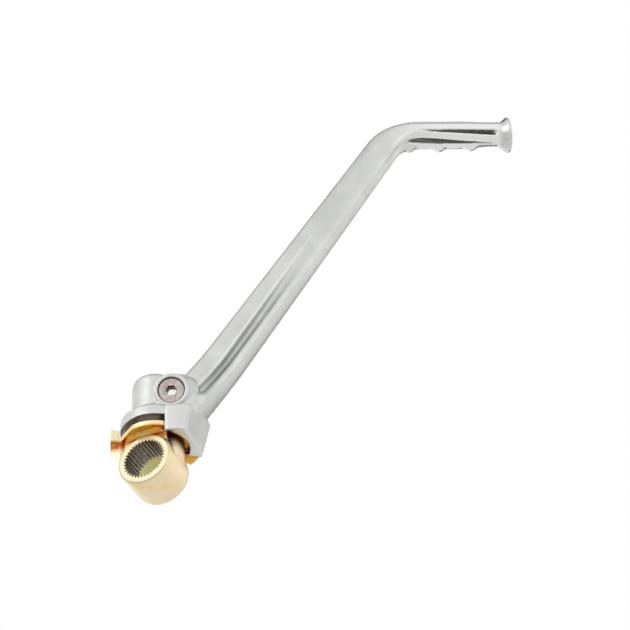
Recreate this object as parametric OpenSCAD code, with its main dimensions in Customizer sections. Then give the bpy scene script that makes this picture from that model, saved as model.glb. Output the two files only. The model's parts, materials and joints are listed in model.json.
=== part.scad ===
// Folding kick start lever for a motorcycle engine.
// Origin: centre of the splined bore on its near face. +Y runs into the bore, towards the engine.
// +Z is the swivel axis of the lever, +X points to the pedal side.

/* [Splined bore] */
// Diameter across the roots of the internal spline
spline_root_d = 17; // [15:0.5:18]
// Height of a spline tooth
spline_tooth_h = 0.75; // [0.4:0.05:1]
// Number of spline teeth
spline_teeth = 36; // [30:1:40]
// Length of the splined stretch
spline_len = 11.5; // [9:0.5:13]
// Extra diameter of the plain bore on the engine side of the spline
pilot_extra_d = 0.6; // [0.4:0.1:1]

/* [Knuckle barrel] */
// Outer diameter of the barrel
barrel_d = 22.2; // [21.4:0.1:23]
// Length of the barrel
barrel_len = 18; // [17:0.5:22]
// Chamfer of the near rim
rim_chamfer = 0.8; // [0.3:0.1:1.2]
// Corner radius of the engine side end
barrel_end_r = 2.2; // [1:0.1:2.5]

/* [Knuckle flange] */
// Diameter of the round flange under the hub
flange_d = 26.8; // [25:0.2:28]
// Thickness of the flange
flange_t = 2.3; // [1.8:0.1:3]
// Height of the neck between barrel and flange
neck_h = 0.8; // [0.4:0.1:1.6]
// Radial thickness of the left stop lug
lug_wall = 3.2; // [2.5:0.1:4]
// How far the right stop lug reaches past the left one
lug_reach = 1.6; // [0:0.1:2]
// Height of the lugs above the flange
lug_h = 3.2; // [2:0.1:3.6]
// Angle that each lug fills
lug_angle = 27; // [18:1:32]
// Angle of the flat on the flange next to the left lug
flat_angle = 40; // [30:1:46]
// How far the web below the lugs starts behind the near rim
web_setback = 1.4; // [0.6:0.1:3]

/* [Stud and swing] */
// Diameter of the pivot stud
stud_d = 12; // [11:0.2:12.6]
// Length of the stud above the flange
stud_len = 26; // [25.5:0.1:26.3]
// Angle that the lever swings between its two stops
swing = 95; // [85:1:100]
// Angle of the lever's plane past the barrel's cross plane when folded
fold_angle = 20; // [10:1:24]
// Free angle left at each stop
stop_play = 1; // [0.5:0.1:2]
// Radial clearance between stud and hub
stud_fit = 0.05; // [0.03:0.01:0.1]

/* [Hub] */
// Diameter of the hub's skirt over the flange
skirt_d = 27.2; // [26:0.2:27.6]
// Height of the skirt's rim band
skirt_band = 4.6; // [3:0.1:5]
// Gap between flange and skirt
skirt_gap = 3.3; // [2.8:0.1:3.6]
// Gap between flange and the hub's inner boss
thrust_gap = 0.3; // [0.2:0.05:0.5]
// Diameter of the hub's upper barrel
hub_d = 18.4; // [17.6:0.2:20]
// Height of the sloped shoulder above the skirt's band
shoulder_h = 3.4; // [2:0.1:5]
// Height of the hub's top above the flange
hub_h = 28.6; // [28.2:0.1:31]
// Corner radius of the hub's top
hub_top_r = 3.4; // [2:0.1:3.6]

/* [Stop block] */
// Distance of the block's front face from the swivel axis
block_front = 14; // [13.9:0.1:15]
// Depth of the block below the flange's top
block_drop = 5.2; // [4:0.1:6]
// Height of the block's front face
block_h = 11.8; // [10:0.1:13]
// Corner radius between front and side of the block
block_r = 3; // [1:0.1:4]
// Reach of the block's front corner along the lever's plane
block_corner = 13; // [12:0.1:16]
// Angle that the block's side opens away from the front corner
block_splay = 14; // [6:1:20]
// Outward slope of the block's side, as run over rise
block_slope = 0.2; // [0.1:0.01:0.3]
// Height of the cheek that joins the block to the arm, above the block's front face
cheek_h = 5; // [3:0.1:6]
// Distance of the cheek's front from the lever's plane
cheek_front = 7.7; // [7:0.1:9]
// Angle of the block's left stop face from the lever's plane
block_left_angle = 68; // [60:1:70]
// Angle of the block's right stop face from the lever's plane
block_right_angle = 20; // [14:1:24]

/* [Lock screw] */
// Diameter of the screw's head
screw_head_d = 10.4; // [9:0.1:10.8]
// Thickness of the screw's head
screw_head_t = 2; // [1.5:0.1:2.4]
// Diameter of the screw's thread
screw_thread_d = 6.4; // [6:0.1:7]
// Diameter of the plain nose that runs in the stud's groove
screw_nose_d = 5; // [4.6:0.1:5.2]
// Length of the screw's thread
screw_thread_len = 2.6; // [2:0.1:2.8]
// How far the nose reaches past the stud's middle
screw_nose_reach = 3; // [2:0.1:3.2]
// Width across the flats of the hex socket
screw_hex = 4; // [3:0.5:5]
// Depth of the hex socket
screw_hex_depth = 2.6; // [2:0.1:3]
// Slope of the screw below the level plane
screw_tilt = 19; // [10:1:22]
// Distance of the screw's axis from the swivel axis
screw_offset = 7.7; // [7.5:0.05:7.9]
// Height of the stud's groove above the flange
groove_height = 20.2; // [19.6:0.1:20.4]
// Distance of the head's face from the lever's plane
screw_face = 10.9; // [10.4:0.1:11.6]
// How deep the head's face lies in its seat
screw_recess = 0.9; // [0.4:0.1:1.4]
// Wall of the boss round the head
screw_boss_wall = 1.5; // [1:0.1:2.2]
// How far along the arm the boss's fairing reaches
fairing_reach = 11; // [9:0.5:16]
// Radius of the fairing's end on the arm
fairing_tip_r = 3; // [2:0.1:4]
// How far the fairing's foot leans from the boss towards the arm
fairing_skew = 2.6; // [1:0.1:3.4]

/* [Detent] */
// Diameter of the detent ball
ball_d = 4; // [3.4:0.1:4.4]
// Distance of the ball from the swivel axis
ball_offset = 10.2; // [9.9:0.05:10.3]
// Angle of the ball from the lever's plane
ball_angle = 30; // [24:1:40]
// Travel of the ball into its pockets
ball_travel = 0.4; // [0.2:0.05:0.6]
// Gap between the riding ball and the flange
ball_gap = 0.05; // [0.03:0.01:0.1]
// Length of the spring behind the ball
spring_len = 7.6; // [6:0.1:9]
// Wire diameter of the spring
spring_wire = 0.45; // [0.3:0.05:0.6]
// Number of turns of the spring
spring_turns = 5; // [4:1:7]

/* [Stud seal] */
// Section diameter of the seal ring
seal_section = 1.2; // [1:0.1:1.4]
// Gap between the seal ring and what is round it
seal_gap = 0.1; // [0.08:0.01:0.15]

/* [Arm] */
// Angle of the arm from the swivel axis
arm_tilt = 32.5; // [30:0.1:35]
// Length of the arm from its root to where it meets the pedal's line
arm_len = 198.5; // [160:0.5:220]
// Distance of the arm's line from the swivel axis at the flange
arm_foot = 5; // [4:0.1:6]
// Width of the arm at its waist near the hub
arm_w = 18; // [15:0.1:20]
// Width of the arm at the bend
arm_top_w = 15.2; // [13:0.1:18]
// Width of the arm's root in the hub
root_w = 17.5; // [16:0.1:20]
// Thickness of the arm near the hub
arm_t = 12; // [10:0.1:14]
// Thickness of the arm at the bend
arm_top_t = 10.6; // [9:0.1:13]
// Thickness of the arm's root in the hub
root_t = 16; // [14:0.1:17]
// Length over which the root blends into the arm
root_len = 34; // [28:1:40]
// How far the root's middle lies to the left of the arm's line
root_shift = 1.6; // [0:0.1:2]

/* [Groove of the arm] */
// Depth of the groove at its lower end
groove_depth = 2.8; // [1:0.1:3.6]
// Distance of the groove's start from the arm's root
groove_start = 8.5; // [8:0.5:24]
// Length over which the groove runs out
groove_len = 120; // [60:1:130]
// Place of the groove's crisp edge across the arm at its lower end
groove_edge_low = 1.6; // [0:0.1:2.4]
// Place of the groove's crisp edge across the arm at its upper end
groove_edge_high = -0.2; // [-2:0.1:1]
// Place of the groove's soft edge across the arm
groove_soft_edge = 5.8; // [4.6:0.1:6.2]

/* [Pedal] */
// Angle of the pedal below the level plane
pedal_droop = 5.5; // [0:0.5:12]
// Length of the pedal from the arm's line to its end
pedal_len = 57.5; // [45:0.5:80]
// Diameter of the pedal
pedal_d = 13.6; // [11:0.1:16]
// Radius of the bend's middle line
bend_r = 20; // [14:0.5:24]
// Depth of the pedal's long grooves
flute_depth = 2.6; // [1:0.1:3]
// Half angle that a long groove fills at its wide end
flute_half = 14; // [8:0.5:15]
// Half angle that a long groove fills at its narrow end
flute_tip = 2.5; // [2:0.5:5]
// Height of the teeth under the pedal
tooth_h = 1.6; // [0:0.1:2.5]
// Spacing of the teeth under the pedal
tooth_pitch = 16.2; // [12:0.1:18]
// Distance of the first tooth from the end of the bend
tooth_first = 10.3; // [6:0.1:12]
// How much thinner the pedal gets towards its end
pedal_taper = 1.2; // [0:0.1:1.6]
// Diameter of the flared end
cap_d = 17.4; // [15:0.1:20]
// Thickness of the flared end's rim
cap_t = 2.2; // [1.5:0.1:3]
// Length of the flare behind the rim
cap_flare = 4; // [2:0.1:5]
// Lean of the flared end out of the square
cap_lean = 6; // [0:1:8]

/* [Hidden] */
$fn = 64;
cut = 0.5;
// Clearances of the lock screw: round its head, its thread and its nose, and past its ends
head_clear = 0.5;
thread_clear = 0.1;
nose_clear = 0.2;
end_clear = 0.2;
groove_clear = 0.15;
pocket_clear = 0.12;
ball_clear = 0.05;
// Wall of the hub's inner boss outside the seal, and the angle of the solid round the detent
boss_wall = 1.4;
pad_angle = 36;
// Height of the arm's root above the flange
root_rise = 9.5;
steel_yellow = [0.90, 0.78, 0.55];
alloy_silver = [0.84, 0.85, 0.83];
screw_grey = [0.72, 0.66, 0.63];
bare_steel = [0.7, 0.7, 0.72];
rubber_black = [0.12, 0.12, 0.12];

barrel_r = barrel_d / 2;
pivot_y = barrel_len / 2;
flange_r = flange_d / 2;
flange_bottom = barrel_r + neck_h;
flange_top = flange_bottom + flange_t;
stud_r = stud_d / 2;
stud_top = flange_top + stud_len;
hub_top = flange_top + hub_h;
skirt_r = skirt_d / 2;
skirt_bottom = flange_top + skirt_gap;
boss_bottom = flange_top + thrust_gap;
side_gap = 0.4;
lug_in = skirt_r + side_gap;
lug_out = lug_in + lug_wall;
lug_top = flange_top + lug_h;
left_lug_front = fold_angle - block_left_angle - swing - stop_play;
right_lug_front = fold_angle + block_right_angle + stop_play;
lug_foot = 0.4;
// From angle, to angle and outer radius of each lug
left_lug = [left_lug_front - lug_angle, left_lug_front, lug_out];
right_lug = [right_lug_front, right_lug_front + lug_angle, lug_out + lug_reach];
groove_z = flange_top + groove_height;
nose_r = screw_nose_d / 2;
screw_seat = screw_face - screw_head_t;
groove_floor_r = screw_offset - nose_r - groove_clear;
groove_half = nose_r / cos(screw_tilt)
    + sqrt(pow(stud_r, 2) - pow(screw_offset - nose_r, 2)) * tan(screw_tilt) + nose_clear;
ball_r = ball_d / 2;
ball_bore_r = ball_r + ball_clear;
ball_z = flange_top + ball_gap + ball_r;
spring_top = ball_z + ball_r + spring_len;
seal_r = seal_section / 2;
seal_mid_r = stud_r + seal_gap + seal_r;
boss_r = seal_mid_r + seal_r + seal_gap + boss_wall;

// Puts a shape that is modelled round the swivel axis into its place on the knuckle.
module at_pivot(turn = 0) {
    translate([0, pivot_y, 0]) rotate([0, 0, turn]) children();
}

// Sector of a ring between two radii and two angles.
module ring_sector(r_in, r_out, from, to, z0, z1) {
    steps = ceil(abs(to - from) / 6);
    far = r_out * 1.5;
    translate([0, 0, z0]) linear_extrude(z1 - z0) intersection() {
        difference() {
            circle(r_out, $fn = 128);
            circle(r_in, $fn = 128);
        }
        polygon(concat([[0, 0]], [for (i = [0 : steps])
            let (a = from + (to - from) * i / steps) [far * cos(a), far * sin(a)]]));
    }
}

// Outline of the internal spline: trapezoid teeth on the root circle.
tooth_foot = 0.32;
tooth_tip = 0.14;
function spline_outline() = [
    for (i = [0 : spline_teeth - 1], step = [[-tooth_foot, 0], [-tooth_tip, 1], [tooth_tip, 1], [tooth_foot, 0]])
        let (a = (i + step[0]) * 360 / spline_teeth, r = spline_root_d / 2 - step[1] * spline_tooth_h)
            [r * cos(a), r * sin(a)]];

module barrel() {
    arc = [for (a = [0 : 15 : 90])
        [barrel_r - barrel_end_r + barrel_end_r * cos(a), barrel_len - barrel_end_r + barrel_end_r * sin(a)]];
    rotate([-90, 0, 0]) rotate_extrude($fn = 128) polygon(concat(
        [[0, 0], [barrel_r - rim_chamfer, 0], [barrel_r, rim_chamfer]], arc, [[0, barrel_len]]));
}

// Front outline of the knuckle above the barrel: it slants from the barrel out to the two lugs.
module wing_outline(top) {
    inset = 0.2;
    foot = barrel_r * 0.15;
    right_out = lug_out + lug_reach;
    translate([0, barrel_len * 2, 0]) rotate([90, 0, 0]) linear_extrude(barrel_len * 3)
        polygon([[inset - barrel_r, foot], [-lug_out - inset, flange_bottom - lug_foot], [-lug_out - inset, top],
            [right_out + inset, top], [right_out + inset, flange_bottom - lug_foot], [barrel_r - inset, foot]]);
}

// Slanted webs that carry the two lugs down to the barrel.
module webs() {
    top = flange_bottom + flange_t / 2;
    overhang = 1.6;
    setback_h = 1.5;
    back = pivot_y + lug_out + lug_reach;
    back_foot = barrel_len - barrel_end_r;
    intersection() {
        wing_outline(top);
        rotate([90, 0, 90]) linear_extrude(barrel_len * 3, center = true)
            polygon([[web_setback, 0], [web_setback, flange_bottom - setback_h],
                [web_setback - 2 * setback_h, flange_bottom], [web_setback - 2 * setback_h, top],
                [back, top], [back, flange_bottom - 1], [back_foot, barrel_r - 1], [back_foot, 0]]);
        at_pivot() union() {
            cylinder(r = flange_r - overhang, h = top);
            for (lug = [left_lug, right_lug])
                ring_sector(0, lug[2] - 0.2, lug[0] + 2, lug[1] - 2, 0, top);
        }
    }
}

// Round flange with a flat next to the left lug.
module flange() {
    flat_mid = left_lug_front + flat_angle / 2;
    flat_distance = flange_r * cos(flat_angle / 2);
    at_pivot() difference() {
        translate([0, 0, flange_bottom]) cylinder(r = flange_r, h = flange_t, $fn = 128);
        rotate([0, 0, flat_mid]) translate([flat_distance, -flange_r, flange_bottom - cut])
            cube([flange_r, 2 * flange_r, flange_t + 2 * cut]);
    }
}

// The two stop lugs beside the flange, with slanted undersides.
module lugs() {
    intersection() {
        wing_outline(lug_top + cut);
        at_pivot() for (lug = [left_lug, right_lug]) {
            ring_sector(lug_in, lug[2], lug[0], lug[1], flange_bottom - lug_foot, lug_top);
            ring_sector(flange_r - 2, lug[2], lug[0], lug[1], flange_bottom - lug_foot, flange_top);
        }
    }
}

// Pivot stud with a chamfered top and the groove that the lock screw's nose runs in.
module stud() {
    tip = 0.8;
    at_pivot() rotate_extrude($fn = 128) polygon([
        [0, flange_bottom], [stud_r, flange_bottom],
        [stud_r, groove_z - groove_half], [groove_floor_r, groove_z - groove_half],
        [groove_floor_r, groove_z + groove_half], [stud_r, groove_z + groove_half],
        [stud_r, stud_top - tip], [stud_r - tip, stud_top], [0, stud_top]]);
}

// Pockets for the detent ball at the two ends of the swing.
module ball_pockets() {
    at_pivot() for (turn = [fold_angle, fold_angle - swing])
        rotate([0, 0, turn + ball_angle]) translate([ball_offset, 0, ball_z - ball_travel])
            sphere(r = ball_r + pocket_clear);
}

module knuckle() {
    color(steel_yellow) difference() {
        union() {
            barrel();
            webs();
            flange();
            lugs();
            stud();
        }
        translate([0, spline_len, 0]) rotate([90, 0, 0]) linear_extrude(spline_len + cut)
            polygon(spline_outline());
        translate([0, spline_len - 0.01, 0]) rotate([-90, 0, 0])
            cylinder(d = spline_root_d + pilot_extra_d, h = barrel_len, $fn = 128);
        ball_pockets();
    }
}

// Turned form of the hub: inner boss, skirt band, sloped shoulder, upper barrel and rounded top.
module hub_turned() {
    hub_r = hub_d / 2;
    step = 0.4;
    band_top = skirt_bottom + skirt_band;
    top_arc = [for (a = [0 : 15 : 90])
        [hub_r - hub_top_r + hub_top_r * cos(a), hub_top - hub_top_r + hub_top_r * sin(a)]];
    rotate_extrude($fn = 128) polygon(concat(
        [[0, boss_bottom], [boss_r, boss_bottom], [boss_r, skirt_bottom], [skirt_r, skirt_bottom],
            [skirt_r, band_top - step], [skirt_r - step, band_top], [hub_r, band_top + shoulder_h]],
        top_arc, [[0, hub_top]]));
}

// Prism along the edge between the block's front and side: flat front, round corner, slanted side.
module block_prism(bottom) {
    lean = atan(block_slope);
    open = tan(block_splay) * cos(lean);
    deep = block_front * 3;
    mid_x = block_corner * cos(lean) + block_r * (open - sqrt(1 + open * open));
    side = -atan(open);
    corner = [for (k = [0 : 6]) let (a = mix(-90, side, k / 6))
        [mid_x + block_r * cos(a), -block_front + block_r + block_r * sin(a)]];
    last = corner[6];
    translate([0, 0, bottom]) rotate([0, lean, 0]) linear_extrude(deep * 2, center = true)
        polygon(concat([[-deep, -block_front]], corner,
            [[last[0] + open * deep, last[1] + deep], [-deep, last[1] + deep]]));
}

// Stop block that hangs down in front of the flange, with the cheek behind it that joins the arm.
module stop_block() {
    bottom = flange_top - block_drop;
    top = bottom + block_h;
    reach = block_front * 2;
    difference() {
        intersection() {
            ring_sector(0, reach, -block_left_angle, block_right_angle, bottom, top + cheek_h);
            block_prism(bottom);
        }
        translate([-reach, -reach, top]) cube([2 * reach, reach - cheek_front, cheek_h + cut]);
        translate([0, 0, bottom - cut])
            cylinder(r = flange_r + side_gap, h = skirt_bottom - bottom + cut, $fn = 128);
    }
}

// Moves a shape that points along +Z onto the lock screw's axis, with Z running outwards.
module on_screw_axis() {
    translate([screw_offset, 0, groove_z]) rotate([90 + screw_tilt, 0, 0]) children();
}

// Boss round the screw's head, with a fairing that runs down to the front of the arm.
module screw_boss() {
    rim_r = (screw_head_d + head_clear) / 2 + screw_boss_wall;
    height = screw_face + screw_recess;
    inset = 0.3;
    p = arm_point(fairing_reach);
    across = -0.4 * half_w(fairing_reach);
    on_screw_axis() cylinder(r = rim_r, h = height, $fn = 96);
    hull() {
        on_screw_axis() translate([0, 0, height - 1.2]) cylinder(r = rim_r - inset, h = 1.2 - inset, $fn = 48);
        on_screw_axis() translate([fairing_skew, 0, height / 2])
            cylinder(r = rim_r + fairing_skew / 2, h = 1, $fn = 48);
        translate([p[0] + across * sin(p[2]), 0, p[1] - across * cos(p[2])]) rotate([90, 0, 0])
            cylinder(r = fairing_tip_r, h = half_t(fairing_reach) - inset, $fn = 36);
    }
}

module screw_bore() {
    thread_end = screw_seat - screw_thread_len - end_clear;
    nose_end = -screw_nose_reach - 2 * end_clear;
    on_screw_axis() {
        translate([0, 0, screw_seat]) cylinder(d = screw_head_d + head_clear, h = screw_face, $fn = 96);
        translate([0, 0, thread_end]) cylinder(d = screw_thread_d + thread_clear, h = screw_seat - thread_end + cut);
        translate([0, 0, nose_end]) cylinder(d = screw_nose_d + nose_clear, h = thread_end - nose_end + cut);
    }
}

module lock_screw() {
    edge = 0.3;
    head_r = screw_head_d / 2;
    thread_end = screw_seat - screw_thread_len;
    color(screw_grey) at_pivot(fold_angle) on_screw_axis() difference() {
        union() {
            rotate_extrude($fn = 96) polygon([[0, screw_seat], [head_r, screw_seat], [head_r, screw_face - edge],
                [head_r - edge, screw_face], [0, screw_face]]);
            translate([0, 0, thread_end]) cylinder(d = screw_thread_d, h = screw_thread_len + cut);
            translate([0, 0, -screw_nose_reach])
                cylinder(d = screw_nose_d, h = thread_end + screw_nose_reach + cut);
        }
        translate([0, 0, screw_face - screw_hex_depth])
            cylinder(d = screw_hex / cos(30), h = screw_hex_depth + cut, $fn = 6);
    }
}

// Blend that eases from 0 to 1 between two places.
function ease(x, from, to) = let (t = min(1, max(0, (x - from) / (to - from)))) t * t * (3 - 2 * t);
function mix(a, b, t) = a + (b - a) * t;

// Middle line of arm, bend and pedal in the lever's plane, as [x, z, direction above +X].
arm_dir = 90 - arm_tilt;
bend_turn = arm_dir + pedal_droop;
bend_tangent = bend_r * tan(bend_turn / 2);
bend_start = arm_len - bend_tangent;
bend_len = bend_r * bend_turn * PI / 180;
path_len = bend_start + bend_len + pedal_len - bend_tangent;
root_z = flange_top + root_rise;
root_x = arm_foot + root_rise * tan(arm_tilt);

function arm_point(s) = [root_x + s * cos(arm_dir), root_z + s * sin(arm_dir), arm_dir];
function bend_point(s) =
    let (p = arm_point(bend_start), turn = (s - bend_start) / bend_r * 180 / PI, a = arm_dir - turn)
    [p[0] + bend_r * (sin(arm_dir) - sin(a)), p[1] - bend_r * (cos(arm_dir) - cos(a)), a];
function pedal_point(s) =
    let (p = bend_point(bend_start + bend_len), u = s - bend_start - bend_len)
    [p[0] + u * cos(-pedal_droop), p[1] + u * sin(-pedal_droop), -pedal_droop];
function path_point(s) = s < bend_start ? arm_point(s)
    : s < bend_start + bend_len ? bend_point(s) : pedal_point(s);

// Half width and half thickness of the arm at a place on the middle line.
function half_w(s) = let (rest = ease(s, 0, root_len), up = s / bend_start)
    mix(root_w, mix(arm_w, arm_top_w, up), rest) / 2;
function half_t(s) = let (rest = ease(s, 0, root_len), up = s / bend_start)
    mix(root_t, mix(arm_t, arm_top_t, up), rest) / 2;

// Section of the arm: a rounded bar with one groove, crisp on the left and soft on the right.
bar_power = 3.4;
function bar_side(t) = pow(abs(cos(t)), 2 / bar_power) * sign(cos(t));
function bar_front(w, a, b) = -b * pow(max(0, 1 - pow(abs(w / a), bar_power)), 1 / bar_power);
function groove_edge(s) = mix(groove_edge_low, groove_edge_high, min(1, s / groove_len));
groove_rise = 5;
function groove_at(s) = groove_depth * ease(s, groove_start, groove_start + groove_rise)
    * (1 - ease(s, groove_start + groove_len * 0.35, groove_start + groove_len));
left_steps = [180, 172, 162, 150, 136, 122];
right_steps = [56, 49, 42, 35, 28, 22, 17, 12, 8, 4, 0];
back_steps = [for (t = [15 : 15 : 165]) t];
groove_steps = [[0, 0], [0.14, 0.72], [0.3, 1], [0.5, 0.92], [0.7, 0.6], [0.86, 0.24], [1, 0]];

function arm_section(s) =
    let (a = half_w(s), b = half_t(s), edge = groove_edge(s), wide = groove_soft_edge - edge,
        depth = groove_at(s), last_left = a * bar_side(left_steps[5]))
    concat(
        [for (t = left_steps) let (w = a * bar_side(t)) [w, bar_front(w, a, b)]],
        [for (part = [0.4, 0.8]) let (w = mix(last_left, edge, part)) [w, bar_front(w, a, b)]],
        [for (g = groove_steps) let (w = edge + g[0] * wide) [w, bar_front(w, a, b) + g[1] * depth]],
        [for (t = right_steps) let (w = mix(groove_soft_edge, a, 1 - t / 63)) [w, bar_front(w, a, b)]],
        [for (t = back_steps) [a * bar_side(t), b * pow(sin(t), 2 / bar_power)]]);

// Section of the pedal: a round bar with two long flutes and teeth on its underside.
// Angles run round the pedal from its front. Each flute tapers to a tip at one end.
bend_end = bend_start + bend_len;
pedal_end = path_len - cap_t;
upper_flute = [bend_end - 1, pedal_end - cap_flare, 23];
lower_flute = [bend_end - 12, pedal_end - cap_flare - 1, 66];
first_angles = [-90, -72, -54, -38, -24, -11, 2, 9];
flute_sides = [-1, -0.74, -0.42, 0, 0.42, 0.74, 1];
back_angles = [for (a = [105 : 15 : 255]) a];
tooth_angle = 133;

function along(s, flute) = min(1, max(0, (s - flute[0]) / (flute[1] - flute[0])));
function upper_half(s) = mix(flute_tip, flute_half, along(s, upper_flute));
function upper_mid(s) = upper_flute[2] + upper_half(s);
function lower_half(s) = let (t = along(s, lower_flute))
    mix(flute_tip, flute_half, ease(t, 0, 0.3) * (1 - ease(t, 0.3, 1)));
function lower_mid(s) = lower_flute[2] + 20 * along(s, lower_flute) + 3;
function pedal_angles(s) =
    let (upper = [for (k = flute_sides) upper_mid(s) + k * upper_half(s)],
        lower = [for (k = flute_sides) lower_mid(s) + k * lower_half(s)])
    concat(first_angles, upper, [for (k = [1 : 3]) mix(upper[6], lower[0], k / 4)], lower,
        [mix(lower[6], back_angles[0], 0.5)], back_angles);

function flute_shape(x) = 1 - pow(min(1, abs(x)), 4);
function flute_on(s, flute) = ease(s, flute[0], flute[0] + 9) * (1 - ease(s, flute[1] - 2.5, flute[1]));
function tooth_at(s) = let (x = (s - bend_end - tooth_first) / tooth_pitch + 0.5)
    max(0, 1 - pow(abs(x - floor(x) - 0.5) / 0.2, 2))
    * ease(s, bend_end - 12, bend_end - 8) * (1 - ease(s, pedal_end - 12, pedal_end - 9));
function under(a) = max(0, 1 - pow((a - tooth_angle) / 46, 2));
function pedal_r(a, s) = pedal_d / 2
    - flute_depth * flute_shape((a - upper_mid(s)) / upper_half(s)) * flute_on(s, upper_flute)
    - flute_depth * flute_shape((a - lower_mid(s)) / lower_half(s)) * flute_on(s, lower_flute)
    + tooth_h * under(a) * tooth_at(s)
    - pedal_taper * mix(0.35, 1, under(a)) * ease(s, pedal_end - 24, pedal_end - 6);
function pedal_section(s) = [for (a = pedal_angles(s)) let (r = pedal_r(a, s)) [r * sin(a), -r * cos(a)]];

function lever_section(s) =
    let (t = ease(s, bend_start - 4, bend_end + 2), bar = arm_section(min(s, bend_end)), round_bar = pedal_section(s))
    [for (i = [0 : len(bar) - 1]) mix(bar[i], round_bar[i], t)];

// Places of the sections along the middle line.
root_stations = [for (k = [0 : 2]) k * groove_start / 3];
groove_stations = [for (k = [0 : 4]) groove_start + k * groove_rise / 4];
long_stations = [for (k = [1 : 20]) mix(groove_start + groove_rise, bend_start - 5, k / 20)];
bend_stations = [for (k = [0 : 12]) mix(bend_start - 1, bend_end, k / 12)];
pedal_step = 1.5;
pedal_stations = [for (s = [bend_end + pedal_step : pedal_step : pedal_end - pedal_step / 2]) s];
stations = concat(root_stations, groove_stations, long_stations, bend_stations, pedal_stations, [pedal_end]);

function shift_at(s) = -root_shift * (1 - ease(s, 0, root_len));
function ring_at(s) = let (p = path_point(s), right = [sin(p[2]), -cos(p[2])])
    [for (q = lever_section(s)) let (w = q[0] + shift_at(s)) [p[0] + right[0] * w, q[1], p[1] + right[1] * w]];

module arm_and_pedal() {
    rings = [for (s = stations) ring_at(s)];
    count = len(rings[0]);
    last = len(rings) - 1;
    points = [for (ring = rings) each ring];
    sides = [for (i = [0 : last - 1], k = [0 : count - 1])
        let (a = i * count + k, b = i * count + (k + 1) % count) [a, a + count, b + count, b]];
    polyhedron(points, concat(
        [[for (k = [0 : count - 1]) k]], sides, [[for (k = [count - 1 : -1 : 0]) last * count + k]]));
}

// Flared end of the pedal.
module pedal_cap() {
    p = path_point(path_len);
    rim_r = cap_d / 2;
    edge = 0.6;
    neck_r = pedal_d / 2 - pedal_taper - edge;
    translate([p[0], 0, p[1]]) rotate([0, 90 - p[2] - cap_lean, 0]) rotate([0, 0, 90])
        rotate_extrude($fn = 96) polygon([
            [0, -cap_t - cap_flare], [neck_r, -cap_t - cap_flare], [rim_r - edge, -cap_t],
            [rim_r, edge - cap_t], [rim_r, -edge], [rim_r - edge, 0], [0, edge]]);
}

// Solid stretch between boss and skirt that carries the detent bore.
module detent_pad() {
    ring_sector(boss_r - cut, skirt_r - cut, ball_angle - pad_angle / 2, ball_angle + pad_angle / 2,
        boss_bottom, skirt_bottom + cut);
}

module detent_bore() {
    rotate([0, 0, ball_angle]) translate([ball_offset, 0, boss_bottom - cut])
        cylinder(r = ball_bore_r, h = spring_top - boss_bottom + cut);
}

module lever() {
    color(alloy_silver) at_pivot(fold_angle) difference() {
        union() {
            hub_turned();
            stop_block();
            screw_boss();
            arm_and_pedal();
            pedal_cap();
            detent_pad();
        }
        translate([0, 0, boss_bottom - cut])
            cylinder(r = stud_r + stud_fit, h = stud_top - boss_bottom + 2 * cut, $fn = 128);
        translate([0, 0, boss_bottom - cut])
            cylinder(r = seal_mid_r + seal_r + seal_gap, h = seal_section + seal_gap + cut, $fn = 96);
        screw_bore();
        detent_bore();
    }
}

module detent_ball() {
    color(bare_steel) at_pivot(fold_angle + ball_angle) translate([ball_offset, 0, ball_z]) sphere(r = ball_r);
}

// Compression spring between the ball and the end of its bore.
module detent_spring() {
    coil_r = ball_r - spring_wire / 2 - 0.15;
    wire_r = spring_wire / 2;
    sides = 6;
    per_turn = 12;
    rings = spring_turns * per_turn;
    low = ball_z + sqrt(pow(ball_r + wire_r, 2) - pow(coil_r, 2)) + 0.02;
    high = spring_top - wire_r - 0.02;
    points = [for (i = [0 : rings], k = [0 : sides - 1])
        let (a = i * 360 / per_turn, z = mix(low, high, i / rings), r = coil_r + wire_r * cos(k * 360 / sides))
            [r * cos(a), r * sin(a), z + wire_r * sin(k * 360 / sides)]];
    walls = [for (i = [0 : rings - 1], k = [0 : sides - 1])
        let (a = i * sides + k, b = i * sides + (k + 1) % sides) [a, a + sides, b + sides, b]];
    color(bare_steel) at_pivot(fold_angle + ball_angle) translate([ball_offset, 0, 0])
        polyhedron(points, concat([[for (k = [0 : sides - 1]) k]], walls,
            [[for (k = [sides - 1 : -1 : 0]) rings * sides + k]]));
}

module stud_seal() {
    color(rubber_black) at_pivot() translate([0, 0, flange_top + seal_gap + seal_r])
        rotate_extrude($fn = 96) translate([seal_mid_r, 0]) circle(r = seal_r, $fn = 32);
}

knuckle();
lever();
lock_screw();
detent_spring();
detent_ball();
stud_seal();
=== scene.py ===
"""Looks of the folding kick start lever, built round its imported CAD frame."""

import json
import math

import bpy
import numpy as np
from mathutils import Matrix, Vector


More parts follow.
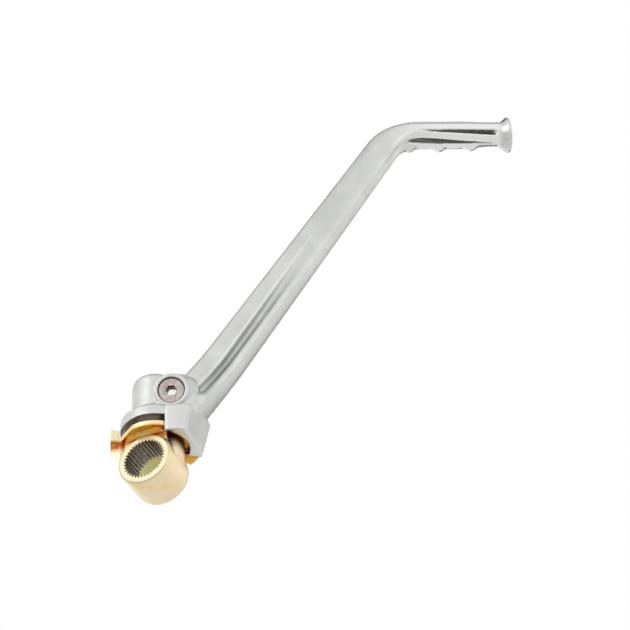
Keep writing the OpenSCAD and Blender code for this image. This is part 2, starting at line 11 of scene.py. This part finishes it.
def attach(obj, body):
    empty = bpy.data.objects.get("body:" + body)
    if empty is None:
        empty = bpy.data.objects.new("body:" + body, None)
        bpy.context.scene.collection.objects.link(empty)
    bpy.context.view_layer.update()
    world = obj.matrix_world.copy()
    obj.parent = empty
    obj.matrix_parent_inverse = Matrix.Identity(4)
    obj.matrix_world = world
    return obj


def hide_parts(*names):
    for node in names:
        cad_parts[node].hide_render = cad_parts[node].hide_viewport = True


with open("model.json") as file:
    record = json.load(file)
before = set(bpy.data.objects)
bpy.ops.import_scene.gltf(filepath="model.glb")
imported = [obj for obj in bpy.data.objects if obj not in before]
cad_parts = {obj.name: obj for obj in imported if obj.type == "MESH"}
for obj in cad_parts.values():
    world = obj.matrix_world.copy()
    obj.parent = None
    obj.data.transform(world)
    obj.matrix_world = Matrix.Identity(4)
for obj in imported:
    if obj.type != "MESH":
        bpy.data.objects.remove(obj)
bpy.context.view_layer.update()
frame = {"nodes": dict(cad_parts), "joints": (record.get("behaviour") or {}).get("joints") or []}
nodes = frame["nodes"]

MM = 0.001

# Camera fitted to the photograph: place in metres, axes in the object's frame, lens in mm
CAMERA_PLACE = (0.1743, -0.3347, -0.2732)
CAMERA_RIGHT = (0.9299, 0.3580, -0.0845)
CAMERA_UP = (0.3006, -0.6071, 0.7356)
CAMERA_BACK = (0.2120, -0.7094, -0.6722)
CAMERA_LENS, CAMERA_SENSOR = 68.57, 36

# Place of the swivel axis in metres
PIVOT = next(Vector(joint["pos_m"]) for joint in frame["joints"] if joint["name"] == "lever_swivel")

# Sizes of the solids that the finishes follow, in mm, the same as in the CAD source
FOLD = math.radians(20)
BARREL_R, BORE_R, SPLINE_LEN = 11.1, 8.8, 11.5
FLANGE_BOTTOM, FLANGE_TOP = 11.9, 14.2
SCREW_TILT = math.radians(19)
SCREW_OFFSET, SCREW_FACE, SCREW_RISE = 7.7, 10.9, 20.2
ARM_TILT = math.radians(32.5)
ARM_FOOT, ROOT_RISE, ARM_LEN = 5, 9.5, 198.5
GROOVE_START, GROOVE_LEN = 8.5, 120
GROOVE_EDGE_LOW, GROOVE_EDGE_HIGH = 1.6, -0.2
BEND_R = 20
PEDAL_DROOP = math.radians(5.5)
PEDAL_LEN, CAP_T, CAP_FLARE = 57.5, 2.2, 4
FLUTE_TIP, FLUTE_HALF, FLUTE_RUN_IN, FLUTE_RUN_OUT = 2.5, 14, 9, 2.5

# Places along the lever's middle line, worked out as the CAD source does
BEND_TANGENT = BEND_R * math.tan((math.pi / 2 - ARM_TILT + PEDAL_DROOP) / 2)
ARM_STRAIGHT = ARM_LEN - BEND_TANGENT
BEND_START = (
    ARM_FOOT + ROOT_RISE * math.tan(ARM_TILT) + ARM_STRAIGHT * math.sin(ARM_TILT),
    FLANGE_TOP + ROOT_RISE + ARM_STRAIGHT * math.cos(ARM_TILT),
)
BEND_CENTRE = (
    BEND_START[0] + BEND_R * math.cos(ARM_TILT),
    BEND_START[1] - BEND_R * math.sin(ARM_TILT),
)
FLUTE_END = PEDAL_LEN - BEND_TANGENT - CAP_T - CAP_FLARE


def in_lever_plane(place):
    """Distance out from the swivel axis in the lever's plane, distance across it, and height, in mm."""
    x, y, z = ((place - np.array(PIVOT)) / MM).T
    out = x * math.cos(FOLD) + y * math.sin(FOLD)
    across = -x * math.sin(FOLD) + y * math.cos(FOLD)
    return out, across, z


def from_lever_plane(out, across, high):
    """These distances as a vector from the swivel axis in the object's frame, in mm."""
    x = out * math.cos(FOLD) - across * math.sin(FOLD)
    y = out * math.sin(FOLD) + across * math.cos(FOLD)
    return Vector((x, y, high))


# Materials
class Shader:
    """A principled material with helpers that add nodes to it."""

    def __init__(self, name, color, metallic, roughness):
        self.material = bpy.data.materials.new(name)
        self.material.use_nodes = True
        self.tree = self.material.node_tree
        self.surface = self.tree.nodes["Principled BSDF"]
        self.surface.inputs["Base Color"].default_value = (*color, 1)
        self.surface.inputs["Metallic"].default_value = metallic
        self.surface.inputs["Roughness"].default_value = roughness
        self.place = self.add("ShaderNodeTexCoord").outputs["Object"]
        self.normal = None

    def add(self, kind, **values):
        node = self.tree.nodes.new(kind)
        for name, value in values.items():
            setattr(node, name, value)
        return node

    def link(self, out, socket):
        self.tree.links.new(out, socket)

    def noise(self, size, detail=4, rough=0.55):
        """Noise with features of about that size in metres."""
        node = self.add("ShaderNodeTexNoise")
        node.inputs["Scale"].default_value = 1 / size
        node.inputs["Detail"].default_value = detail
        node.inputs["Roughness"].default_value = rough
        self.link(self.place, node.inputs["Vector"])
        return node.outputs["Fac"]

    def remap(self, value, low, high, to_low=0.0, to_high=1.0):
        """Goes from to_low at low to to_high at high, and stays level outside them."""
        node = self.add("ShaderNodeMapRange")
        limits = {"From Min": low, "From Max": high, "To Min": to_low, "To Max": to_high}
        for name, number in limits.items():
            node.inputs[name].default_value = number
        self.link(value, node.inputs["Value"])
        return node.outputs["Result"]

    def between(self, value, start, full, last, end):
        """1 from full to last, falling to 0 at start and at end."""
        return self.product(self.remap(value, start, full), self.remap(value, end, last))

    def calc(self, operation, *values):
        node = self.add("ShaderNodeMath", operation=operation)
        for socket, value in zip(node.inputs, values):
            if isinstance(value, (int, float)):
                socket.default_value = value
            else:
                self.link(value, socket)
        return node.outputs["Value"]

    def product(self, result, *others):
        for other in others:
            result = self.calc("MULTIPLY", result, other)
        return result

    def distance(self, a, b):
        """Length of the hypotenuse over a and b."""
        squares = self.calc("ADD", self.product(a, a), self.product(b, b))
        return self.calc("SQRT", squares)

    def vector(self, operation, first, second=None):
        node = self.add("ShaderNodeVectorMath", operation=operation)
        self.link(first, node.inputs[0])
        if second is not None:
            node.inputs[1].default_value = second
        return node.outputs["Vector" if operation == "SUBTRACT" else "Value"]

    def ramp(self, value, stops):
        node = self.add("ShaderNodeValToRGB")
        elements = node.color_ramp.elements
        while len(elements) < len(stops):
            elements.new(0.5)
        for element, (at, color) in zip(elements, stops):
            element.position = at
            element.color = (*color, 1)
        self.link(value, node.inputs["Fac"])
        return node.outputs["Color"]

    def mix(self, share, a, b):
        """Colour a where share is 0, colour b where it is 1."""
        node = self.add("ShaderNodeMix", data_type="RGBA")
        color_a, color_b, color_out = node.inputs[6], node.inputs[7], node.outputs[2]
        for socket, value in ((node.inputs["Factor"], share), (color_a, a), (color_b, b)):
            if isinstance(value, tuple):
                socket.default_value = (*value, 1)
            elif isinstance(value, (int, float)):
                socket.default_value = value
            else:
                self.link(value, socket)
        return color_out

    def axes(self):
        """X, Y and Z of the place on the object, in mm."""
        node = self.add("ShaderNodeSeparateXYZ")
        self.link(self.place, node.inputs["Vector"])
        return [self.calc("DIVIDE", out, MM) for out in node.outputs]

    def attribute(self, name):
        return self.add("ShaderNodeAttribute", attribute_name=name).outputs["Fac"]

    def shelter(self, reach, closed, open_share):
        """1 where the surroundings within reach close a place in, 0 where it lies open."""
        node = self.add("ShaderNodeAmbientOcclusion", samples=8)
        node.inputs["Distance"].default_value = reach
        return self.remap(node.outputs["AO"], closed, open_share, 1, 0)

    def color(self, out):
        self.link(out, self.surface.inputs["Base Color"])

    def roughness(self, out):
        self.link(out, self.surface.inputs["Roughness"])

    def soften(self, radius):
        """Rounds edges in the shading."""
        bevel = self.add("ShaderNodeBevel", samples=8)
        bevel.inputs["Radius"].default_value = radius
        self.normal = bevel.outputs["Normal"]
        self.link(self.normal, self.surface.inputs["Normal"])

    def bump(self, height, distance, strength=1.0):
        node = self.add("ShaderNodeBump")
        node.inputs["Strength"].default_value = strength
        node.inputs["Distance"].default_value = distance
        self.link(height, node.inputs["Height"])
        if self.normal is not None:
            self.link(self.normal, node.inputs["Normal"])
        self.normal = node.outputs["Normal"]
        self.link(self.normal, self.surface.inputs["Normal"])


def alloy():
    """Tumbled forged aluminium: pale satin arm, brighter polish towards the pedal, painted shade in the
    arm's groove and the pedal's flutes, worn edges and a painted highlight on the groove's lip.
    """
    satin_stops = [(0.3, (0.62, 0.63, 0.61)), (0.7, (0.72, 0.73, 0.70))]
    # Lighter colour for worn edges and for the painted highlight on the groove's lip
    polished, wear_and_highlight_color = (0.80, 0.81, 0.79), (0.86, 0.87, 0.85)
    # Painted shade colours for the arm's groove and the pedal's flutes
    arm_shade, pedal_shade = (0.40, 0.41, 0.39), (0.06, 0.062, 0.058)
    wear_and_highlight_share, polish_gloss = 0.7, 0.24
    s = Shader("forged_aluminium", (0.68, 0.69, 0.67), 1.0, 0.34)
    polish, painted_shade, wear_and_highlight = (s.attribute(name) for name in ("polish", "painted_shade", "wear_and_highlight"))
    bright = s.mix(polish, s.ramp(s.noise(14 * MM, 3), satin_stops), polished)
    # Worn edges, and a painted highlight on the groove's lip
    bright = s.mix(s.product(wear_and_highlight, wear_and_highlight_share), bright, wear_and_highlight_color)
    # Painted shade darkens the groove and the flutes
    s.color(s.mix(painted_shade, bright, s.mix(polish, arm_shade, pedal_shade)))
    grain = s.noise(0.35 * MM, 3)
    patches = s.remap(s.noise(6 * MM, 4), 0.3, 0.75, 0.34, 0.46)
    rough = s.calc("ADD", patches, s.remap(grain, 0.3, 0.7, -0.02, 0.04))
    s.roughness(s.calc("SUBTRACT", rough, s.product(polish, polish_gloss)))
    s.bump(s.noise(9 * MM, 2), 0.1 * MM, 0.4)
    s.bump(grain, 0.006 * MM, 0.5)
    return s.material


def zinc_tint_and_shade_below_flange(s, x, y, z, near_face):
    """How far the darker orange under the flange covers a place, and its colour: the zinc's own orange and
    red tint, deepened by painted shade.
    """
    red, red_share = (0.50, 0.08, 0.015), 0.65
    on_web = s.product(s.remap(z, FLANGE_BOTTOM - 4.4, FLANGE_BOTTOM - 1.9), s.remap(y, 0.3, 0.9))
    share = s.calc("MAXIMUM", s.remap(z, FLANGE_BOTTOM - 2.7, FLANGE_BOTTOM - 0.7), on_web)
    under_rim = s.remap(z, FLANGE_BOTTOM + 1, FLANGE_BOTTOM + 0.2)
    share = s.product(share, s.calc("SUBTRACT", under_rim, near_face))
    tint_and_shade = s.ramp(s.noise(3.4 * MM, 2), [
        (0.3, (0.74, 0.22, 0.03)), (0.46, (0.84, 0.42, 0.03)),
        (0.6, (0.74, 0.48, 0.04)), (0.72, (0.56, 0.12, 0.02))])
    tint_and_shade = s.mix(s.product(s.remap(x, -5, -10), red_share), tint_and_shade, red)
    return s.calc("MAXIMUM", share, 0), tint_and_shade


def yellow_zinc():
    """Yellow zinc: pale gold, its orange and red tint deepened by painted shade under the flange, painted
    dark shade where it is closed in, beside the barrel's face and on the stud, grey teeth.
    """
    # Painted shade colours: dark brown for closed-in places, near black beside the barrel's near face
    machined, closed_in_shade, unlit = (0.70, 0.60, 0.42), (0.22, 0.06, 0.015), (0.07, 0.014, 0.004)
    # Dark olive painted shade for the stud in the gap under the lever's hub
    stud_gap_shade, collar_green = (0.36, 0.35, 0.20), (0.44, 0.44, 0.16)
    machined_share, tint_and_shade_share, closed_in_shade_share, unlit_share, stud_gap_shade_share = 0.8, 0.95, 0.8, 0.92, 0.85
    s = Shader("yellow_zinc", (0.78, 0.62, 0.38), 1.0, 0.3)
    x, y, z = s.axes()
    from_bore_axis = s.distance(x, z)
    from_swivel_axis = s.distance(x, s.calc("SUBTRACT", y, PIVOT.y / MM))
    near_face = s.product(
        s.remap(s.calc("ABSOLUTE", y), 0.7, 0.4),
        s.remap(from_bore_axis, BARREL_R + 0.4, BARREL_R + 0.1))
    gold = s.ramp(s.noise(7 * MM, 3), [
        (0.25, (0.95, 0.74, 0.48)), (0.45, (0.97, 0.81, 0.55)), (0.58, (0.93, 0.78, 0.46)),
        (0.68, (0.97, 0.68, 0.44)), (0.8, (0.95, 0.77, 0.52))])
    plate = s.mix(s.product(near_face, machined_share), gold, machined)
    # The zinc's orange tint under the flange, deepened by painted shade
    below, tint_and_shade = zinc_tint_and_shade_below_flange(s, x, y, z, near_face)
    plate = s.mix(s.product(below, tint_and_shade_share), plate, tint_and_shade)
    # Painted shade: ambient occlusion darkens and reddens closed-in places
    closed_in = s.shelter(6 * MM, 0.25, 0.6)
    plate = s.mix(s.product(closed_in, closed_in_shade_share), plate, closed_in_shade)
    # Painted shadow: near black on the web to the right of the barrel's near face
    shadow_beside_face = s.product(
        s.between(x, 3, 5.5, 10, 11), s.between(z, 2.5, 5, 10, 10.6), s.remap(y, 0.9, 2))
    plate = s.mix(s.product(shadow_beside_face, unlit_share), plate, unlit)
    # Painted shade: the stud in the gap under the lever's hub turns dark olive
    on_stud = s.product(s.remap(z, FLANGE_TOP + 0.1, FLANGE_TOP + 0.4), s.remap(from_swivel_axis, 10, 9.5))
    plate = s.mix(s.product(on_stud, stud_gap_shade_share), plate, stud_gap_shade)
    teeth = s.ramp(s.noise(1.5 * MM, 3), [(0.3, (0.22, 0.19, 0.16)), (0.7, (0.42, 0.38, 0.33))])
    inner = s.mix(s.remap(y, SPLINE_LEN - 0.3, SPLINE_LEN + 0.3), teeth, collar_green)
    in_bore = s.product(s.remap(from_bore_axis, BORE_R + 0.15, BORE_R - 0.05), s.remap(y, 0.05, 0.5))
    s.color(s.mix(in_bore, plate, inner))
    s.roughness(s.remap(s.noise(3 * MM, 4), 0.3, 0.7, 0.26, 0.42))
    s.soften(0.4 * MM)
    s.bump(s.noise(4 * MM, 2), 0.05 * MM, 0.5)
    s.bump(s.noise(0.4 * MM, 3), 0.008 * MM, 0.5)
    return s.material


def screw_steel():
    """Plain steel with dark stains, painted black shade on the walls of its hex socket and painted white
    light on the socket's floor.
    """
    # Painted shade for the socket's walls and painted light for its floor
    socket_wall_shade, socket_floor_light = (0.015, 0.012, 0.01), (0.96, 0.94, 0.92)
    wall_dullness, floor_gloss = 0.4, 0.65
    axis = from_lever_plane(0, -math.cos(SCREW_TILT), -math.sin(SCREW_TILT))
    middle = from_lever_plane(SCREW_OFFSET, 0, FLANGE_TOP + SCREW_RISE) + axis * SCREW_FACE
    s = Shader("screw_steel", (0.58, 0.51, 0.49), 1.0, 0.4)
    stains = s.noise(1.6 * MM, 5, 0.7)
    head = s.ramp(stains, [
        (0.33, (0.34, 0.27, 0.25)), (0.47, (0.60, 0.51, 0.49)), (0.7, (0.70, 0.61, 0.59))])
    away = s.vector("SUBTRACT", s.place, PIVOT + middle * MM)
    depth = s.calc("DIVIDE", s.vector("DOT_PRODUCT", away, axis), -MM)
    far = s.calc("DIVIDE", s.vector("LENGTH", away), MM)
    across = s.calc("SQRT", s.calc("SUBTRACT", s.product(far, far), s.product(depth, depth)))
    in_socket = s.remap(across, 3.2, 3.1)
    wall = s.product(in_socket, s.remap(depth, 0.25, 0.5))
    floor = s.product(in_socket, s.remap(depth, 2.45, 2.55))
    # Painted black shade on the socket's walls, painted white light on its floor
    s.color(s.mix(floor, s.mix(wall, head, socket_wall_shade), socket_floor_light))
    rough = s.remap(stains, 0.3, 0.7, 0.5, 0.32)
    rough = s.calc("ADD", rough, s.product(wall, wall_dullness))
    s.roughness(s.calc("SUBTRACT", rough, s.product(floor, floor_gloss)))
    s.soften(0.15 * MM)
    s.bump(stains, 0.02 * MM, 0.5)
    return s.material


def bright_steel(name, color, roughness):
    """Drawn or ground steel with fine marks."""
    dim = tuple(part * 0.92 for part in color)
    s = Shader(name, color, 1.0, roughness)
    marks = s.noise(0.8 * MM, 4)
    s.roughness(s.remap(marks, 0.3, 0.7, roughness * 0.8, roughness * 1.3))
    s.color(s.ramp(marks, [(0.3, dim), (0.7, color)]))
    s.bump(marks, 0.004 * MM, 0.4)
    return s.material


def black_rubber():
    s = Shader("seal_rubber", (0.02, 0.02, 0.02), 0.0, 0.6)
    grain = s.noise(0.3 * MM, 4)
    s.color(s.ramp(grain, [(0.3, (0.014, 0.014, 0.014)), (0.7, (0.03, 0.03, 0.03))]))
    s.roughness(s.remap(grain, 0.3, 0.7, 0.5, 0.75))
    s.bump(grain, 0.01 * MM, 0.5)
    return s.material


def dress(obj, material):
    obj.data.materials.clear()
    obj.data.materials.append(material)


# Lever
def rise(value, low, high):
    """Goes straight from 0 at low to 1 at high."""
    return np.clip((value - low) / (high - low), 0, 1)


def ease(value, low, high):
    """Goes smoothly from 0 at low to 1 at high."""
    share = rise(value, low, high)
    return share * share * (3 - 2 * share)


def mesh_arrays(mesh):
    place = np.empty(len(mesh.vertices) * 3)
    mesh.vertices.foreach_get("co", place)
    edges = np.empty(len(mesh.edges) * 2, int)
    mesh.edges.foreach_get("vertices", edges)
    return place.reshape(-1, 3), edges.reshape(-1, 2)


def neighbour_means(place, edges):
    count = np.bincount(edges.ravel(), minlength=len(place))[:, None]
    total = np.zeros_like(place)
    np.add.at(total, edges[:, 0], place[edges[:, 1]])
    np.add.at(total, edges[:, 1], place[edges[:, 0]])
    return total / count


def relax(place, edges, share, rounds):
    """Evens a mesh out where share is above 0, without shrinking it."""
    for _ in range(rounds):
        for pull in (0.5, -0.52):
            place = place + (neighbour_means(place, edges) - place) * share[:, None] * pull
    return place


def smoothed(place, edges, rounds):
    for _ in range(rounds):
        place = 0.5 * place + 0.5 * neighbour_means(place, edges)
    return place


def on_pedal(out, across, high):
    """Distance along the pedal from the end of the bend in mm, and angle round it from its front."""
    x, z = out - BEND_CENTRE[0], high - BEND_CENTRE[1]
    level, plumb = math.cos(PEDAL_DROOP), math.sin(PEDAL_DROOP)
    turn = np.arctan2(z, x) - math.pi / 2 + PEDAL_DROOP
    bent = turn > 0
    along = np.where(bent, -turn * BEND_R, x * level - z * plumb)
    down = BEND_R - np.where(bent, np.hypot(x, z), x * plumb + z * level)
    return along, np.degrees(np.arctan2(down, -across))


def flute_shade(along, angle, start, end, half, middle):
    """1 in the floor of a flute, 0 outside it."""
    floor = 1 - np.clip(np.abs(angle - middle) / half, 0, 1) ** 3
    run_in = ease(along, start, start + FLUTE_RUN_IN)
    return floor * run_in * (1 - ease(along, end - FLUTE_RUN_OUT, end))


def pedal_shade(along, angle):
    """1 in the floors of the pedal's two flutes, and a light shade on its flared end."""
    start, end, side = -1, FLUTE_END, 23
    half = FLUTE_TIP + (FLUTE_HALF - FLUTE_TIP) * rise(along, start, end)
    upper = flute_shade(along, angle, start, end, half, side + half)
    start, end, side, lean = -12, FLUTE_END - 1, 69, 20
    share = rise(along, start, end)
    half = FLUTE_TIP + (FLUTE_HALF - FLUTE_TIP) * ease(share, 0, 0.3) * (1 - ease(share, 0.3, 1))
    lower = flute_shade(along, angle, start, end, half, side + lean * share)
    cap = 0.25 * ease(along, FLUTE_END + 0.5, FLUTE_END + 2.5)
    return np.maximum(upper, lower), cap


def groove_shade(out, high):
    """Painted shade on the floor of the arm's groove, and 1 for a painted highlight on the crisp lip at
    its left.
    """
    x, z = out - BEND_START[0], high - BEND_START[1]
    along = ARM_STRAIGHT + x * math.sin(ARM_TILT) + z * math.cos(ARM_TILT)
    place = x * math.cos(ARM_TILT) - z * math.sin(ARM_TILT)
    edge = GROOVE_EDGE_LOW + (GROOVE_EDGE_HIGH - GROOVE_EDGE_LOW) * rise(along, 0, GROOVE_LEN)
    start = ease(along, GROOVE_START, GROOVE_START + 3.5)
    floor = ease(place, edge - 0.1, edge + 0.7) * (1 - ease(place, edge + 3.2, 6.8))
    fade = 0.5 * (1 - ease(along, 20, 52)) + 0.35 * (1 - ease(along, 50, 125))
    lip_highlight = ease(place, edge - 1.1, edge - 0.7) * (1 - ease(place, edge - 0.4, edge))
    return floor * start * fade, lip_highlight * start * (1 - ease(along, 95, 125))


def paint_shares(mesh, place, edges):
    """Stores how polished each place is, its painted shade in the groove and the flutes, and its worn
    edges with the painted highlight on the groove's lip, for the material.
    """
    normal = np.empty(len(place) * 3)
    mesh.vertices.foreach_get("normal", normal)
    even = smoothed(place, edges, 40)
    depth = ((even - place) * normal.reshape(-1, 3)).sum(axis=1) / MM
    out, across, high = in_lever_plane(place)
    polish = rise(out, 112, 138)
    pedal = rise(out, 116, 120)
    front = rise(-across, 0.5, 1.5)
    groove_painted_shade, lip_highlight = groove_shade(out, high)
    flutes, cap = pedal_shade(*on_pedal(out, across, high))
    worn = rise(-depth, 0.05, 0.35) * (0.35 + 0.65 * polish)
    shares = {
        "polish": polish,
        # Painted shade in the groove and the flutes
        "painted_shade": np.where(pedal > 0, np.maximum(flutes * pedal, cap), groove_painted_shade * front),
        # Worn edges, and a painted highlight on the groove's lip
        "wear_and_highlight": np.maximum(worn, lip_highlight * front),
    }
    for name, share in shares.items():
        mesh.attributes.new(name, "FLOAT", "POINT").data.foreach_set("value", share.astype(np.float32))


def forged_lever():
    """The lever as one forging: the CAD solid with its joins blended, most of all along the arm."""
    voxel, rounds = ((0.45, 20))
    kept_faces, least_share = 0.78, 0.12
    look = bpy.data.objects.new("lever_forging", nodes["lever"].data.copy())
    bpy.context.scene.collection.objects.link(look)
    remesh = look.modifiers.new("remesh", "REMESH")
    remesh.mode = "VOXEL"
    remesh.voxel_size = voxel * MM
    look.modifiers.new("fewer", "DECIMATE").ratio = kept_faces
    graph = bpy.context.evaluated_depsgraph_get()
    mesh = bpy.data.meshes.new_from_object(look.evaluated_get(graph))
    look.modifiers.clear()
    look.data = mesh
    place, edges = mesh_arrays(mesh)
    out, _, high = in_lever_plane(place)
    arm = rise(high, 24, 30) * rise(out, 9, 14)
    place = relax(place, edges, least_share + (1 - least_share) * arm, rounds)
    mesh.vertices.foreach_set("co", place.ravel())
    mesh.shade_smooth()
    mesh.update()
    paint_shares(mesh, place, edges)
    return look


lever_look = forged_lever()
dress(lever_look, alloy())
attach(lever_look, "lever")
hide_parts("lever")
dress(nodes["knuckle"], yellow_zinc())
dress(nodes["lock_screw"], screw_steel())
dress(nodes["detent_spring"], bright_steel("spring_steel", (0.45, 0.45, 0.46), 0.35))
dress(nodes["detent_ball"], bright_steel("ball_steel", (0.75, 0.75, 0.77), 0.1))
dress(nodes["stud_seal"], black_rubber())


# Stage
def camera():
    data = bpy.data.cameras.new("camera")
    data.lens = CAMERA_LENS
    data.sensor_width = CAMERA_SENSOR
    data.clip_start = 0.01
    obj = bpy.data.objects.new("camera", data)
    turn = Matrix((CAMERA_RIGHT, CAMERA_UP, CAMERA_BACK)).transposed()
    obj.matrix_world = Matrix.Translation(CAMERA_PLACE) @ turn.to_4x4()
    bpy.context.scene.collection.objects.link(obj)
    bpy.context.scene.camera = obj


def aim(obj, place, target):
    obj.location = place
    obj.rotation_euler = (Vector(target) - Vector(place)).to_track_quat("-Z", "Y").to_euler()


def lamp(name, place, size, power, in_metal=True):
    """A round soft lamp aimed at the lever. Where in_metal is off, metal doesn't mirror it."""
    lit_place = (0.06, 0, 0.09)
    data = bpy.data.lights.new(name, "AREA")
    data.shape = "DISK"
    data.size = size
    data.energy = power
    obj = bpy.data.objects.new(name, data)
    aim(obj, place, lit_place)
    obj.visible_camera = False
    obj.visible_glossy = in_metal
    bpy.context.scene.collection.objects.link(obj)


def white_world():
    """Soft light from all round that looks white to the camera and in metal."""
    soft_strength, white_strength = 0.75, 1.0
    world = bpy.data.worlds.new("studio")
    bpy.context.scene.world = world
    world.use_nodes = True
    tree = world.node_tree
    tree.nodes.clear()
    path = tree.nodes.new("ShaderNodeLightPath")
    seen = path.outputs["Is Camera Ray"]
    for other in ("Is Glossy Ray", "Is Transmission Ray"):
        either = tree.nodes.new("ShaderNodeMath")
        either.operation = "MAXIMUM"
        tree.links.new(seen, either.inputs[0])
        tree.links.new(path.outputs[other], either.inputs[1])
        seen = either.outputs["Value"]
    blend = tree.nodes.new("ShaderNodeMixShader")
    tree.links.new(seen, blend.inputs["Fac"])
    for socket, strength in zip(blend.inputs[1:], (soft_strength, white_strength)):
        background = tree.nodes.new("ShaderNodeBackground")
        background.inputs["Color"].default_value = (1, 1, 1, 1)
        background.inputs["Strength"].default_value = strength
        tree.links.new(background.outputs["Background"], socket)
    out = tree.nodes.new("ShaderNodeOutputWorld")
    tree.links.new(blend.outputs["Shader"], out.inputs["Surface"])


def card(name, width, height, level=0.0):
    """A rectangle of these half sizes that lies level."""
    corners = [(x * width, y * height, level) for x, y in ((-1, -1), (1, -1), (1, 1), (-1, 1))]
    mesh = bpy.data.meshes.new(name)
    mesh.from_pydata(corners, [], [(0, 1, 2, 3)])
    obj = bpy.data.objects.new(name, mesh)
    bpy.context.scene.collection.objects.link(obj)
    return obj


def pale_floor():
    """Pale floor. It keeps the object's shadow, and metal sees it nearly as bright as the studio."""
    obj = card("floor", 6, 6, level=-0.45)
    s = Shader("floor_paint", (0.9, 0.9, 0.9), 0.0, 0.7)
    s.roughness(s.remap(s.noise(0.2, 3), 0.3, 0.7, 0.6, 0.8))
    bright = s.add("ShaderNodeEmission")
    bright.inputs["Strength"].default_value = 0.85
    path = s.add("ShaderNodeLightPath")
    blend = s.add("ShaderNodeMixShader")
    s.link(path.outputs["Is Glossy Ray"], blend.inputs["Fac"])
    s.link(s.surface.outputs["BSDF"], blend.inputs[1])
    s.link(bright.outputs["Emission"], blend.inputs[2])
    s.link(blend.outputs["Shader"], s.tree.nodes["Material Output"].inputs["Surface"])
    dress(obj, s.material)


def flag(name, side, reach, width, tone):
    """A grey card behind the object, off to one side of the view. Only metal sees it."""
    middle, height, beyond = Vector((0.06, 0.02, 0.09)), 0.5, 0.9
    obj = card(name, width, height)
    aim(obj, middle + side.normalized() * reach - Vector(CAMERA_BACK) * beyond, middle)
    for ray in ("camera", "diffuse", "shadow", "transmission", "volume_scatter"):
        setattr(obj, "visible_" + ray, False)
    s = Shader(name + "_cloth", (tone, tone, tone), 0.0, 0.9)
    s.bump(s.noise(0.02, 2), 1 * MM)
    dress(obj, s.material)


camera()
white_world()
pale_floor()
lamp("key", place=(-0.35, -1.0, 0.45), size=0.9, power=1.5)
lamp("fill", place=(0.9, -0.5, 0.1), size=0.8, power=0.4)
lamp("back", place=(0.2, 0.8, 0.5), size=0.8, power=1.5, in_metal=False)
right, up = Vector(CAMERA_RIGHT), Vector(CAMERA_UP)
flag("flag_0", side=up - right * 0.9, reach=0.75, width=0.22, tone=0.12)
flag("flag_1", side=right * 1.2 - up * 0.7, reach=0.4, width=0.2, tone=0.3)
flag("flag_2", side=up + right * 0.1, reach=0.95, width=0.6, tone=0.7)
bpy.context.scene.view_settings.view_transform = "Standard"
